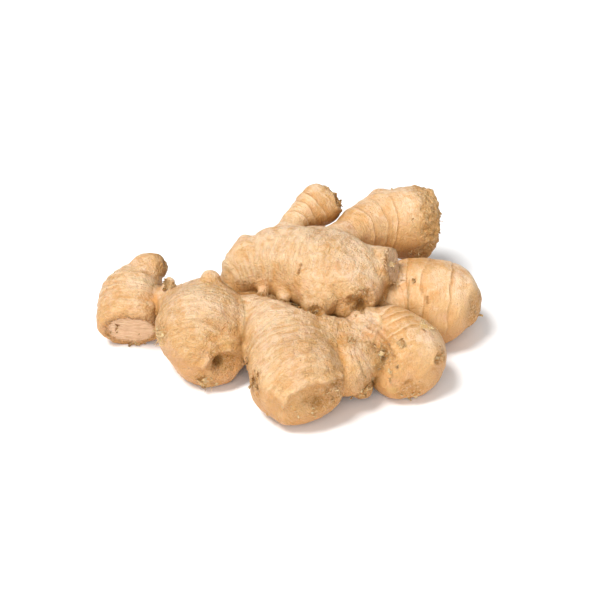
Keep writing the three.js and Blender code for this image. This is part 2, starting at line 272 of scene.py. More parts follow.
def noise(points, size, seed):
    """Smooth noise from about -1 to 1 at points in mm, with lumps of about size mm."""
    q = points / size + SEED_SHIFT * seed
    cell = np.floor(q).astype(int)
    f = q - cell
    fade = f * f * f * (f * (f * 6 - 15) + 10)
    total = np.zeros(len(points))
    for corner in np.ndindex(2, 2, 2):
        x, y, z = (cell + corner).T % GRID
        pick = PERMUTATION[(PERMUTATION[(PERMUTATION[x] + y) % GRID] + z) % GRID]
        weight = np.prod(np.where(corner, fade, 1 - fade), axis=1)
        total += weight * np.einsum("ij,ij->i", GRADIENTS[pick], f - corner)
    return NOISE_GAIN * total


def ridges(points, size, seed):
    """Sharp ridges where the noise passes 0, with dips of about size mm between them."""
    return RIDGE - np.abs(noise(points, size, seed))


def smoothstep(low, high, x):
    """0 below low and 1 above high, smoothly between."""
    t = np.clip((x - low) / (high - low), 0, 1)
    return t * t * (3 - 2 * t)


def hump(x, width):
    """1 where x is 0, falling smoothly to nothing at about twice width to either side."""
    return np.exp(-((x / width) ** 2))


def placed(place):
    """A place of the skeleton in the numbers of the finished piece, mm."""
    return np.array(place) - ORIGIN


# ---- the skeleton as a field ----


def catmull_rom(line):
    """Points of the centripetal Catmull-Rom curve through line, with line's own points among them."""
    p = np.vstack([2 * line[0] - line[1], line, 2 * line[-1] - line[-2]])
    u = np.linspace(0, 1, PER_SPAN, endpoint=False)[:, None]
    out = []
    for a, b, c, d in zip(p, p[1:], p[2:], p[3:]):
        t0, t1, t2 = (np.linalg.norm(e) ** 0.5 for e in (b - a, c - b, d - c))
        m1 = t1 * ((b - a) / t0 - (c - a) / (t0 + t1) + (c - b) / t1)
        m2 = t1 * ((c - b) / t1 - (d - b) / (t1 + t2) + (d - c) / t2)
        out.append(b + m1 * u + (3 * c - 3 * b - 2 * m1 - m2) * u**2 + (2 * b - 2 * c + m1 + m2) * u**3)
    return np.vstack([*out, p[-2:-1]])


def smooth(places, values, s):
    """A cubic through the points (places, values), at s."""
    last = len(places) - 1
    before = np.maximum(np.arange(last + 1) - 1, 0)
    after = np.minimum(np.arange(last + 1) + 1, last)
    slope = (values[after] - values[before]) / (places[after] - places[before])
    s = np.clip(s, places[0], places[-1])
    i = np.clip(np.searchsorted(places, s, side="right") - 1, 0, last - 1)
    span = places[i + 1] - places[i]
    u = (s - places[i]) / span
    lean = span * u * (1 - u) * ((1 - u) * slope[i] - u * slope[i + 1])
    return values[i] + (values[i + 1] - values[i]) * u * u * (3 - 2 * u) + lean


class Spine:
    """The centre line of one finger, sampled every STEP mm: place, axis, side, top and radius."""

    def __init__(self, spec):
        path = np.array(spec["path"], float)
        fine = catmull_rom(path[:, :3])
        along = np.concatenate([[0], np.cumsum(np.linalg.norm(np.diff(fine, axis=0), axis=1))])
        self.length = along[-1]
        self.s = np.linspace(0, self.length, max(6, round(self.length / STEP)))
        self.place = np.stack([np.interp(self.s, along, fine[:, i]) for i in range(3)], 1) - ORIGIN
        self.radius = smooth(along[::PER_SPAN], path[:, 3], self.s)
        self.axis = unit(np.gradient(self.place, self.s, axis=0))
        self.side = unit(np.cross(self.axis, (0, 0, 1)))
        self.top = np.cross(self.side, self.axis)
        self.spec = {**USUAL, **spec}


NAMES = [*FINGERS, *KNOBS]
SPINES = [Spine(spec) for spec in (*FINGERS.values(), *KNOBS.values())]
FILLET = 4.0  # width of the join between a finger and its parent, mm
KNOB_FILLET = 2.4  # and between a bud or bump and its finger
CREASE = 1.2  # and between fingers that only press together
SOFT_JOINS = {
    ("front lobe", "heart"): 6,
    ("second lobe toe", "lobe heel"): 7,
    ("saddle", "right lobe"): 6,
}
CUT_SOFTNESS = 0.7  # how rounded the edge of a cut end is, mm
CAP_SOFTNESS = 2.5  # and that of a blunt cap
SAG = 0.3  # share of its softness that a softened edge gives back

# Bodies that are planed away beyond a plane: the body, a place on the plane, the way that the plane
# faces, and how rounded its edge is in mm.
FACETS = [
    ("second lobe", (-29.5, -40.5, 17), (0.42, -0.86, 0.2), 1.6),
    ("second lobe", (-49.6, -32.3, 10.7), (-0.75, -0.39, -0.53), 1.4),
    ("second lobe toe", (-29.5, -40.5, 15), (0.42, -0.86, 0.2), 1.6),
    ("front lobe", (11.5, -71.5, 18), (0.42, -0.88, 0.1), 1.8),
    ("right lobe", (52, -54, 15), (0.2, -0.95, 0.05), 2.2),
    ("back lobe", (79, -12, 20), (0.86, -0.5, 0.05), 1.6),
    ("back lobe", (84, 1.5, 21.5), (0.88, 0.28, 0.38), 1.2),
    ("back lobe", (81, -6, 11), (0.75, -0.39, -0.53), 1.4),
    ("back finger", (68.5, 33, 38), (0.93, -0.3, 0.15), 1.6),
]


def join_widths():
    """The width of the join between each two bodies, mm."""
    table = np.full((len(NAMES), len(NAMES)), CREASE)
    for i, name in enumerate(NAMES):
        spec = SPINES[i].spec
        if spec["parent"]:
            j = NAMES.index(spec["parent"])
            usual = KNOB_FILLET if name in KNOBS else FILLET
            table[i, j] = table[j, i] = spec.get("fillet", usual)
    for (first, second), width in SOFT_JOINS.items():
        i, j = NAMES.index(first), NAMES.index(second)
        table[i, j] = table[j, i] = width
    return table


WIDTHS = join_widths()


def gaps_to(points):
    """The signed distance in mm from each point to each body, and its nearest sample there."""
    gaps = np.empty((len(points), len(SPINES)))
    nearest = np.empty((len(points), len(SPINES)), int)
    for k, spine in enumerate(SPINES):
        c = spine.place
        squares = (points**2).sum(1)[:, None] + (c**2).sum(1)[None] - 2 * points @ c.T
        distance = np.sqrt(np.maximum(squares, 0)) - spine.radius[None]
        nearest[:, k] = distance.argmin(1)
        gap = distance.min(1)
        spec = spine.spec
        end = (points - c[-1]) @ spine.axis[-1]
        if spec["cut"]:
            gap = soft_max(gap, end, CUT_SOFTNESS)
        elif spec["cap"] < 1:
            gap = soft_max(gap, end - spec["cap"] * spine.radius[-1], CAP_SOFTNESS)
        for body, place, out, softness in FACETS:
            if body == NAMES[k]:
                gap = soft_max(gap, (points - placed(place)) @ unit(np.array(out)), softness)
        gaps[:, k] = gap
    return gaps, nearest


def soft_max(a, b, width):
    """The greater of two distances, with the edge where they meet rounded over width mm."""
    return np.maximum(a, b) + width * np.log1p(np.exp(-np.abs(a - b) / width)) - SAG * width


def joined(gaps):
    """The signed distance to all bodies grown together, and the index of the nearest body."""
    rows = np.arange(len(gaps))
    first = gaps.argmin(1)
    least = gaps[rows, first]
    width = WIDTHS[first]
    near = np.clip(1 - (gaps - least[:, None]) / width, 0, 1)
    fill = width * near**2 / 4
    fill[rows, first] = 0
    return least - fill.max(1), first


def depth_at(points):
    """The signed distance in mm from each point to all bodies grown together."""
    return joined(gaps_to(points)[0])[0]


# ---- modelling helpers ----


def deselect_all():
    bpy.ops.object.select_all(action="DESELECT")


def select_only(*objects):
    deselect_all()
    for obj in objects:
        obj.select_set(True)
    bpy.context.view_layer.objects.active = objects[0]


TUBE_RESOLUTION = 10
BALL_SEGMENTS = 40


def add_curve(resolution):
    """An empty curve, round in section, whose points have their radius in mm."""
    bpy.ops.curve.primitive_nurbs_path_add()
    curve = bpy.context.active_object
    curve.data.splines.clear()
    curve.data.bevel_depth = MM
    curve.data.bevel_resolution = resolution
    curve.data.use_fill_caps = True
    return curve


def add_tube(spine):
    """One finger as a tube of its own girth, with a ball in each end that isn't cut."""
    path = add_curve(TUBE_RESOLUTION)
    spline = path.data.splines.new("POLY")
    spline.points.add(len(spine.s) - 1)
    places = np.hstack([spine.place * MM, np.ones((len(spine.s), 1))])
    spline.points.foreach_set("co", places.ravel())
    spline.points.foreach_set("radius", spine.radius)
    bpy.ops.object.convert(target="MESH")
    made = [bpy.context.active_object]
    for end in (0,) if spine.spec["cut"] else (0, -1):
        bpy.ops.mesh.primitive_uv_sphere_add(
            segments=BALL_SEGMENTS,
            ring_count=BALL_SEGMENTS // 2,
            radius=spine.radius[end] * MM,
            location=spine.place[end] * MM,
        )
        made.append(bpy.context.active_object)
    return made


def read(items, key, kind=np.float32, width=3):
    """The value that key has for each of a mesh's items, as rows of width numbers."""
    values = np.empty(len(items) * width, kind)
    items.foreach_get(key, values)
    return values.reshape(-1, width)


def coordinates(obj):
    """The points of a mesh, mm."""
    return read(obj.data.vertices, "co").astype(float) / MM


def set_coordinates(obj, points):
    """Moves the points of a mesh to other places, mm."""
    obj.data.vertices.foreach_set("co", (points * MM).astype(np.float32).ravel())
    obj.data.update()


def normals(obj):
    return read(obj.data.vertex_normals, "vector").astype(float)


def set_attribute(obj, name, values):
    """Stores a number or a vector at each point of a mesh, for its finish to read."""
    kind, key = ("FLOAT_VECTOR", "vector") if values.ndim == 2 else ("FLOAT", "value")
    layer = obj.data.attributes.new(name, kind, "POINT")
    layer.data.foreach_set(key, values.astype(np.float32).ravel())


def keep_outer_shell(obj):
    """Deletes any shell that the remesh left inside a closed hollow."""
    select_only(obj)
    leftmost = int(coordinates(obj)[:, 0].argmin())
    bpy.ops.object.mode_set(mode="EDIT")
    bpy.ops.mesh.select_mode(type="VERT")
    bpy.ops.mesh.select_all(action="DESELECT")
    bpy.ops.object.mode_set(mode="OBJECT")
    obj.data.vertices[leftmost].select = True
    bpy.ops.object.mode_set(mode="EDIT")
    bpy.ops.mesh.select_linked()
    bpy.ops.mesh.select_all(action="INVERT")
    bpy.ops.mesh.delete(type="VERT")
    bpy.ops.object.mode_set(mode="OBJECT")


def averaged(values, pairs, rounds):
    """values spread evenly over the mesh: each becomes the mean of its neighbours, rounds times."""
    count = len(values)
    ends = np.concatenate([pairs[:, 0], pairs[:, 1]])
    others = np.concatenate([pairs[:, 1], pairs[:, 0]])
    degree = np.bincount(ends, minlength=count)
    columns = values.reshape(count, -1).T
    for _ in range(rounds):
        columns = [np.bincount(ends, c[others], count) / degree for c in columns]
    return np.stack(columns, 1).reshape(values.shape)


# ---- the relief of the skin ----


# The numbers that noise and ridges take here are a size in mm and a seed, and a factor before them is
# a height in mm.
RING_STEP = 5  # spacing of the rings of a body that has no list of them, mm
FINGER_SHIFT = 37  # keeps the folds of one finger from repeating on the next, mm
WARTS = 90


class Skin:
    """Where each point of the skin lies on its finger, its relief and the masks of its finish."""

    def __init__(self, points, pairs):
        gaps, nearest = gaps_to(points)
        first = joined(gaps)[1]
        self.points = points
        self.count = len(points)
        self.fibre = np.zeros((self.count, 3))
        self.phase, self.spacing, self.grip, self.crisp = (np.zeros(self.count) for _ in range(4))
        self.cork, self.cut, self.rim = (np.zeros(self.count) for _ in range(3))
        sample = nearest[np.arange(self.count), first]
        for k, spine in enumerate(SPINES):
            mine = first == k
            if not mine.any():
                continue
            i = sample[mine]
            off = points[mine] - spine.place[i]
            s = spine.s[i] + (off * spine.axis[i]).sum(1)
            x, y = (off * spine.side[i]).sum(1), (off * spine.top[i]).sum(1)
            self.fibre[mine] = np.stack([x, y, s + FINGER_SHIFT * k], 1)
            self.set_rings(mine, spine, s)
            self.set_ends(mine, spine, spine.length - s)
        two = np.sort(gaps, axis=1)[:, :2]
        self.seam = averaged(1 - smoothstep(0.5, 4, two[:, 1] - two[:, 0]), pairs, 3)
        self.grip *= 1 - self.seam
        self.rough = np.zeros(self.count)
        for place, reach in ROUGH_PLACES:
            x = self.away_from(place) / reach + 0.3 * noise(points, 5, 60)
            self.rough = np.maximum(self.rough, 1 - smoothstep(0.35, 1.05, x))

    def nearest_point(self, place):
        """The point of the skin that is nearest to a place of the skeleton."""
        return self.points[np.argmin(((self.points - placed(place)) ** 2).sum(1))]

    def away_from(self, place):
        """Distance in mm from the point of the skin that is nearest to a place of the skeleton."""
        return np.linalg.norm(self.points - self.nearest_point(place), axis=1)

    def set_rings(self, mine, spine, s):
        """A number that passes a whole value at each ring, the spacing there and how strong it is."""
        evenly = np.arange(0, spine.length + 4 * RING_STEP, RING_STEP)
        rings = np.array(spine.spec.get("rings", evenly), float)
        points = self.points[mine]
        s = s + 1.3 * noise(points, 13, 3) + 0.6 * noise(points, 5, 4)
        step = np.diff(rings)
        marks = np.concatenate([[rings[0] - step[0]], rings, [rings[-1] + step[-1]]])
        order = np.arange(len(marks)) - 1.0
        phase = np.interp(s, marks, order)
        low, high = s < marks[0], s > marks[-1]
        phase[low] = order[0] + (s[low] - marks[0]) / step[0]
        phase[high] = order[-1] + (s[high] - marks[-1]) / step[-1]
        self.phase[mine] = phase
        self.spacing[mine] = np.interp(s, (marks[1:] + marks[:-1]) / 2, np.diff(marks))
        inside = smoothstep(rings[0] - 2, rings[0] - 1, s)
        inside *= 1 - smoothstep(rings[-1] + 1, rings[-1] + 2, s)
        patchy = smoothstep(-0.8, 0.0, noise(points, 10, 5))
        self.grip[mine] = inside * (0.3 + 0.7 * patchy) * spine.spec["firm"]
        self.crisp[mine] = spine.spec["crisp"]

    def set_ends(self, mine, spine, left):
        """How corky or how freshly cut the skin is, with left mm to go to the end of the line."""
        points = self.points[mine]
        ragged = 2.2 * noise(points, 6, 6) + 1.2 * noise(points, 2.5, 7)
        if spine.spec["cork"]:
            tip = left + spine.radius[-1] * spine.spec["cap"]
            self.cork[mine] = 1 - smoothstep(-3, 4.5, tip - spine.spec["cork"] + 1.4 * ragged)
        if spine.spec["cut"]:
            across = np.linalg.norm(self.fibre[mine][:, :2], axis=1)
            inner = 1 - smoothstep(-1.4, -0.4, across - spine.radius[-1] + 0.2 * ragged)
            flat = 1 - smoothstep(0.6, 1.6, left)
            self.cut[mine] = flat * inner
            edge = np.hypot(across - spine.radius[-1] + 0.3 * ragged, left - 0.4)
            self.rim[mine] = hump(edge, 0.5 + 0.08 * spine.radius[-1])

    def lift(self):
        """How far the skin stands out at each point, mm."""
        p = self.points
        taut = 1 - 0.5 * self.crisp
        lumps = noise(p, 26, 10) + taut * (noise(p, 13, 11) + 0.5 * noise(p, 6.5, 12))
        facets = 0.9 * ridges(p, 17, 15) + taut * 0.6 * ridges(p, 8, 16)
        loose = 1 - 0.8 * self.crisp
        crumple = loose * (0.26 * ridges(p, 4.2, 28) + 0.14 * ridges(p, 2.4, 29))
        along = self.fibre * (1, 1, 0.25)
        across = self.fibre * (0.07, 0.07, 1)
        ribs = 0.1 * noise(along, 3.5, 13)
        patchy = 0.35 + 0.65 * smoothstep(-0.5, 0.4, noise(p, 14, 27))
        folds = patchy * (0.46 * noise(across, 3, 17) + 0.3 * noise(across, 1.6, 18))
        pits = 0.1 * noise(p, 2.6, 19)
        bare = 1 - 0.9 * self.cut
        woven = (1 - self.seam) * (ribs + folds * loose) + self.rings()
        self.crest = woven + crumple + 0.4 * self.rough * noise(p, 2.4, 25)
        skin = (lumps + facets + crumple + pits + woven) * bare
        torn = 0.4 * noise(p, 3.4, 24) + 0.32 * noise(p, 1.9, 25) + 0.2 * np.abs(noise(p, 1.3, 26))
        skin += self.rough * torn + self.tips() + self.scars()
        return skin + self.warts() + self.faces() + self.marks()

    def rings(self):
        """The lip before each ring and the step down after it."""
        x = ((self.phase + 0.5) % 1 - 0.5) * self.spacing
        reach = 2.2 - 1.3 * self.crisp
        before = np.exp(-np.abs(np.minimum(x, 0)) / reach)
        lip = before * hump(np.maximum(x, 0), 1.1 - 0.6 * self.crisp)
        groove = hump(x - 1.15, 0.7)
        return self.grip * ((0.8 - 0.4 * self.crisp) * lip - 0.22 * self.crisp * groove)

    def tips(self):
        """Corky knobs and pits on the tips."""
        p = self.points
        knobs = 0.95 * np.abs(noise(p, 5, 20)) + 0.8 * noise(p, 2.8, 21) + 0.45 * noise(p, 1.6, 22)
        return self.cork * (knobs - 0.2)

    def scars(self):
        """The sunk middles and raised rims of the stem scars."""
        out = np.zeros(self.count)
        self.scar = np.zeros(self.count)
        for k, scar in enumerate(SCARS):
            ragged = scar.get("ragged", 0.16)
            x = self.away_from(scar["at"]) / scar["radius"] + ragged * noise(self.points, 4, 30 + k)
            out -= scar["depth"] * (1 - smoothstep(0.05, 0.95, x))
            out += scar["rim"] * hump(x - 1, 0.17)
            stain = scar.get("stain", min(scar["depth"] / 3, 1))
            self.scar = np.maximum(self.scar, stain * (1 - smoothstep(0.35, 1.05, x)))
        return out

    def marks(self):
        """The cracks and welts, with the lips beside them."""
        out = np.zeros(self.count)
        self.crack = np.zeros(self.count)
        for k, (places, width, depth, lip, dark) in enumerate(MARKS):
            line = [self.nearest_point(place) for place in places]
            x = distance_to_line(self.points, line) / width + 0.5 * noise(self.points, 2.6, 70 + k)
            middle = hump(x, 1)
            out += lip * hump(x - 1.9, 0.8) - depth * middle
            self.crack = np.maximum(self.crack, dark * middle)
        return out

    def warts(self):
        """Small bumps scattered over the skin near the tip of the back finger."""
        rng = np.random.default_rng(SEED + 5)
        spine = SPINES[NAMES.index("back finger")]
        out = np.zeros(self.count)
        for _ in range(WARTS):
            i = int(len(spine.s) * rng.uniform(0.66, 0.99))
            angle = rng.uniform(0, 2 * math.pi)
            size = rng.uniform(0.7, 1.5)
            outward = math.sin(angle) * spine.side[i] + math.cos(angle) * spine.top[i]
            away = np.linalg.norm(self.points - spine.place[i] - spine.radius[i] * outward, axis=1)
            out += 0.6 * size * hump(away, size)
        self.wart = np.clip(out, 0, 1)
        return out

    def faces(self):
        """The torn rim and the fibres of a cut end."""
        fibres = 0.08 * noise(self.fibre * (0.25, 1, 1), 1.6, 40) + 0.3 * noise(self.points, 7, 41)
        ragged = 0.55 * self.rim * (0.7 + noise(self.points, 2, 42))
        return ragged + self.cut * (fibres - 0.35)


def distance_to_line(points, line):
    """Distance in mm from each point to the straight pieces of a line."""
    away = np.full(len(points), np.inf)
    for a, b in zip(line, line[1:]):
        share = np.clip((points - a) @ (b - a) / ((b - a) @ (b - a)), 0, 1)
        away = np.minimum(away, np.linalg.norm(points - a - share[:, None] * (b - a), axis=1))
    return away


def sealed(obj):
    """True if every edge of the mesh has two faces."""
    return len(obj.data.edges) * 2 == sum(len(p.vertices) for p in obj.data.polygons)


# ---- shader helper ----


def maths(operation, swapped=False):
    """A method of Wire that adds a Math node of this operation."""

    def method(wire, *others):
        values = (*others, wire) if swapped else (wire, *others)
        return wire.finish.node("ShaderNodeMath", {"operation": operation}, values)

    return method


class Wire:
    """A node socket that can be used in Python expressions, each adding its Math node."""

    def __init__(self, finish, socket):
        self.finish = finish
        self.socket = socket

    __add__ = __radd__ = maths("ADD")
    __sub__ = maths("SUBTRACT")
    __rsub__ = maths("SUBTRACT", swapped=True)
    __mul__ = __rmul__ = maths("MULTIPLY")
    fract = maths("FRACT")
    floor = maths("FLOOR")
    abs = maths("ABSOLUTE")

    def step(self, low, high):
        """0 below low and 1 above high, smoothly between. It falls where high is below low."""
        values = {"Value": self, "From Min": min(low, high), "From Max": max(low, high)}
        values.update({"To Min": 0, "To Max": 1} if low < high else {"To Min": 1, "To Max": 0})
        smooth_rise = {"interpolation_type": "SMOOTHSTEP"}
        return self.finish.node("ShaderNodeMapRange", smooth_rise, values, output="Result")


# A little light passes through everything on the hand, and it has a dull shine.
SOFT_SHELL = {
    "Subsurface Weight": 0.18,
    "Subsurface Radius": (1.0, 0.45, 0.2),
    "Subsurface Scale": 2 * MM,
    "Specular IOR Level": 0.5,
}


class Finish:
    """A material made of nodes."""

    def __init__(self, name):
        self.material = bpy.data.materials.new(name)
        self.material.use_nodes = True
        self.tree = self.material.node_tree
        self.tree.nodes.clear()
        self.shader = self.tree.nodes.new("ShaderNodeBsdfPrincipled")
        out = self.tree.nodes.new("ShaderNodeOutputMaterial")
        self.tree.links.new(self.shader.outputs[0], out.inputs["Surface"])

    def node(self, kind, settings, inputs, output=0):
        """Adds a node, gives it its settings, then the values or links of its sockets."""
        node = self.tree.nodes.new(kind)
        for key, value in settings.items():
            setattr(node, key, value)
        for key, value in inputs.items() if isinstance(inputs, dict) else enumerate(inputs):
            self.put(node.inputs[key], value)
        return Wire(self, node.outputs[output])

    def put(self, socket, value):
        """Links a wire to a socket, or gives the socket a constant value."""
        if isinstance(value, Wire):
            self.tree.links.new(value.socket, socket)
        else:
            socket.default_value = value

    def attribute(self, name, output="Fac"):
        """A value that the mesh holds at each of its points."""
        return self.node("ShaderNodeAttribute", {"attribute_name": name}, {}, output)

    def millimetres(self):
        """The place on the piece, in mm."""
        place = self.node("ShaderNodeTexCoord", {}, {}, "Object")
        return self.scaled(place, (1 / MM,) * 3)

    def scaled(self, vector, by):
        """The vector with each of its parts multiplied by its own number."""
        return self.node("ShaderNodeVectorMath", {"operation": "MULTIPLY"}, (vector, by))

    def noise(self, vector, size, detail=3.0, roughness=0.55, distortion=0.0):
        """Noise from 0 to 1 about 0.5, with lumps of about size in the units of the vector."""
        values = {"Vector": vector, "Scale": 1 / size, "Detail": detail}
        values.update({"Roughness": roughness, "Distortion": distortion})
        return self.node("ShaderNodeTexNoise", {"noise_dimensions": "3D"}, values)

    def waves(self, noise, height):
        """The noise as a relief whose bumps are about height mm up or down."""
        return (noise - 0.5) * (height * 5)

    def spots(self, vector, size):
        """Distance to the nearest of scattered points about size apart, in shares of size."""
        values = {"Vector": vector, "Scale": 1 / size, "Randomness": 1.0}
        return self.node("ShaderNodeTexVoronoi", {"voronoi_dimensions": "3D"}, values, output="Distance")

    def mix(self, factor, a, b):
        """Colour a where factor is 0 and colour b where it is 1."""
        node = self.tree.nodes.new("ShaderNodeMix")
        node.data_type = "RGBA"
        for socket, value in zip((node.inputs[0], node.inputs[6], node.inputs[7]), (factor, a, b)):
            self.put(socket, value)
        return Wire(self, node.outputs[2])

    def coated(self, colour, *coats):
        """The colour with others laid over it in turn, each as thickly as its amount says."""
        for amount, tint in coats:
            colour = self.mix(amount, colour, tint)
        return colour

    def finished(self, colour, roughness, height=None, strength=1.0):
        """The material, with its colour, its roughness and the bumps of a height in mm."""
        self.put(self.shader.inputs["Base Color"], colour)
        self.put(self.shader.inputs["Roughness"], roughness)
        if height is not None:
            values = {"Strength": strength, "Distance": MM, "Height": height}
            bump = self.node("ShaderNodeBump", {}, values, output="Normal")
            self.put(self.shader.inputs["Normal"], bump)
        for name, value in SOFT_SHELL.items():
            self.put(self.shader.inputs[name], value)
        return self.material


# What the mesh of the rhizome tells its finish at each point: masks that the relief works out, and
# masks that the finished surface gives, most of them for painted shade and a painted highlight.
SKIN_MASKS = (
    "seam", "phase", "spacing", "grip", "crisp", "cork", "cut", "rim", "scar", "rough", "wart",
    "crest", "crack",
)
SURFACE_MASKS = ("hollow", "underside_shade", "top_highlight", "sunk", "young")


def skin_finish(look):
    """Thin dry ginger skin: mottled tan with fine folds, brown ring lips, scars and corky tips, with
    painted shade in creases, dips, undersides and behind ring steps, and a painted highlight on top.

    A noise takes its size in mm, detail, roughness and distortion. A step takes the values at which
    a coat begins and is full, and the factors after it say how thickly that coat lies.
    """
    f = Finish("ginger_skin")
    place = f.millimetres()
    fibre = f.attribute("fibre", "Vector")
    seam, phase, spacing, grip, crisp, cork, cut, rim, scar, rough, wart, crest, crack = (
        f.attribute(name) for name in SKIN_MASKS
    )
    hollow, underside_shade, top_highlight, sunk, young = (f.attribute(name) for name in SURFACE_MASKS)
    calm = 1 - seam
    loose = 1 - crisp * 0.75
    internode = {"W": (phase + 0.1).floor() * 7.3}
    band = f.node("ShaderNodeTexWhiteNoise", {"noise_dimensions": "1D"}, internode)

    broad = f.noise(place, 30, 2)
    patch = f.noise(place, 11, 3, 0.6, 0.5)
    olive = f.noise(place, 17, 3, 0.6, 0.5)
    blotch = f.noise(place, 6, 3, 0.6, 0.8)
    mottle = f.noise(place, 3.4, 4, 0.65, 0.8)
    fleck = f.noise(place, 1.1, 3, 0.65, 0.4)
    fold = (f.noise(f.scaled(fibre, (0.12, 0.12, 1)), 1.1, 3, 0.6, 0.5) - 0.5) * calm + 0.5
    crease = (f.noise(f.scaled(fibre, (0.16, 0.16, 1)), 0.45, 2, 0.55, 0.4) - 0.5) * calm + 0.5
    streak = f.noise(place, 0.8, 3, 0.6, 0.3)
    crumple = (f.noise(place, 2.4, 3, 0.6, 0.9) - 0.5).abs()
    crinkle = (f.noise(place, 1.2, 2, 0.55, 0.6) - 0.5).abs()
    grain = f.noise(place, 0.5, 3, 0.6)
    knobs = f.spots(place, 1.7)
    strands = f.noise(f.scaled(fibre, (0.4, 1.6, 1)), 1.3, 3, 0.6, 0.4)

    x = ((phase + 0.5).fract() - 0.5) * spacing + (f.noise(place, 1.7, 3) - 0.5) * 1.1
    lip = x.abs().step(0.5, 0.0) * grip
    below = (x - 0.75).abs().step(0.55, 0.05) * grip
    torn = f.noise(place, 2.6, 3, 0.6).step(0.4, 0.6)
    # painted shade on the tip side of each sharp ring step, fading over about 4 mm
    ring_step_shade = x.step(4.5, 0.4) * x.step(-0.1, 0.3) * grip * crisp

    # painted highlight: paler patches on the sides that face up
    top_highlight_amount = top_highlight * (broad.step(0.6, 0.4) * 0.35 + mottle.step(0.6, 0.4) * 0.4)
    specks = f.spots(place, 3.4).step(0.12, 0.04) * f.noise(place, 12, 2).step(0.45, 0.6) * (1 - cut)
    skin = f.coated(
        f.mix(broad.step(0.38, 0.62), look.skin_pale, look.skin_tan),
        (patch.step(0.48, 0.68) * 0.7, look.skin_warm),
        (olive.step(0.54, 0.72) * 0.45, look.skin_olive),
        (top_highlight_amount, look.painted_top_highlight),
        (band.step(0.3, 1.0) * crisp * 0.5, look.skin_tan),
        (blotch.step(0.5, 0.7) * 0.6, look.painted_shade_and_blotch),
        (mottle.step(0.52, 0.74) * loose * 0.4, look.skin_brown),
        (mottle.step(0.46, 0.28) * 0.35, look.skin_light),
        (fold.step(0.48, 0.3) * loose * 0.33, look.skin_brown),
        (fold.step(0.54, 0.72) * loose * 0.5, look.skin_light),
        (crest.step(0.05, 0.6) * 0.5, look.skin_light),
        (crest.step(-0.02, -0.35) * 0.45, look.skin_brown),
        (crumple.step(0.03, 0.0) * loose * 0.2, look.skin_brown),
        (crinkle.step(0.03, 0.0) * loose * 0.35, look.skin_light),
        (fleck.step(0.57, 0.72) * 0.2, look.skin_brown),
        (fleck.step(0.43, 0.3) * 0.3, look.skin_light),
        (ring_step_shade * 0.8, look.painted_shade_and_blotch),
        (streak.step(0.6, 0.78) * 0.12, look.skin_brown),
        (lip * (crisp * 0.5 + 0.08), look.skin_light),
        (below * (torn * 0.45 + 0.2) * crisp, look.ring_brown),
        (crease.step(0.46, 0.3) * loose * 0.3, look.skin_brown),
        (crease.step(0.54, 0.7) * loose * 0.3, look.skin_light),
        # painted shade in the dips of the relief, and lighter skin on the bumps that stand out beside
        # them
        (sunk.step(-0.3, -0.8) * 0.4, look.skin_light),
        (sunk.step(-0.08, 0.45) * 0.85, look.painted_shade_and_blotch),
        # painted shade: the skin turns darker and browner where it faces down
        (underside_shade * 0.85, look.painted_shade_and_blotch),
        (specks * 0.65, look.ring_brown),
        (rough * 0.35, look.painted_shade_and_blotch),
        (rough * fleck.step(0.5, 0.66) * 0.75, look.scar_brown),
        (rough * fleck.step(0.48, 0.34) * 0.6, look.skin_light),
        (scar * (mottle * 0.6 + 0.25), look.scar_brown),
        # painted shade in the creases where other fingers close in on the skin
        (hollow * (patch * 0.3 + 0.75), look.painted_crease_shade),
        (crack * 0.9, look.ring_brown),
        (wart * 0.35, look.skin_light),
        (cork * (fleck.step(0.4, 0.6) * 0.3 + 0.55), look.cork),
        (cork * knobs.step(0.45, 0.7) * 0.55, look.scar_brown),
        (cork * knobs.step(0.25, 0.1) * 0.35, look.skin_light),
    )
    face = f.coated(
        look.flesh,
        (strands.step(0.5, 0.36) * 0.45, look.skin_brown),
        (strands.step(0.52, 0.64) * 0.6, look.skin_light),
    )
    colour = f.coated(
        skin,
        (cut, face),
        (rim * fleck.step(0.42, 0.56) * 0.8, look.ring_brown),
        (young * 0.35, look.young),
    )

    sheen = 0.42 + (patch - 0.5) * 0.3 + (fold - 0.5) * 0.3 + cork * 0.25 + cut * 0.15 + hollow * 0.2
    sheen = sheen + (scar + rough) * 0.2

    height = loose * (f.waves(fold, 0.24) + f.waves(crease, 0.1))
    height = height + f.waves(grain, 0.08) + loose * (f.waves(mottle, 0.3) + f.waves(fleck, 0.18))
    height = (height + loose * (crumple * 1.3 - crinkle * 0.7)) * (1 - cut)
    height = height + crisp * (lip * 0.12 - below * 0.16) - specks * 0.2
    height = height + rough * (f.waves(fleck, 0.22) + f.waves(grain, 0.05))
    height = height + cork * (f.waves(fleck, 0.25) - knobs * 0.5)
    height = height + rim * f.waves(fleck, 0.3) + cut * f.waves(strands, 0.12)
    return f.finished(colour, sheen, height)


def scale_finish(look):
    """Dry papery scale leaf: straw with brown edges and fine ribs."""
    f = Finish("dry_scale")
    fleck = f.noise(f.millimetres(), 0.8, 3, 0.6)
    colour = f.coated(
        f.mix(f.attribute("tint"), look.scale_straw, look.scale_brown),
        (fleck.step(0.48, 0.62) * 0.5, look.scale_brown),
        (fleck.step(0.46, 0.34) * 0.4, look.skin_light),
    )
    return f.finished(colour, 0.55 + (fleck - 0.5) * 0.4, f.waves(fleck, 0.1), strength=0.8)


def fibre_finish(look):
    """Dry root hair: straw, browner in places."""
    f = Finish("root_fibre")
    fleck = f.noise(f.millimetres(), 1.6, 3, 0.6)
    colour = f.mix(fleck.step(0.4, 0.62), look.fibre_straw, look.scale_brown)
    return f.finished(colour, 0.5 + (fleck - 0.5) * 0.4)


# ---- settings ----


def colour_property(name, description, default):
    return bpy.props.FloatVectorProperty(
        name=name, description=description, subtype="COLOR", size=4, min=0, max=1, default=(*default, 1)
    )


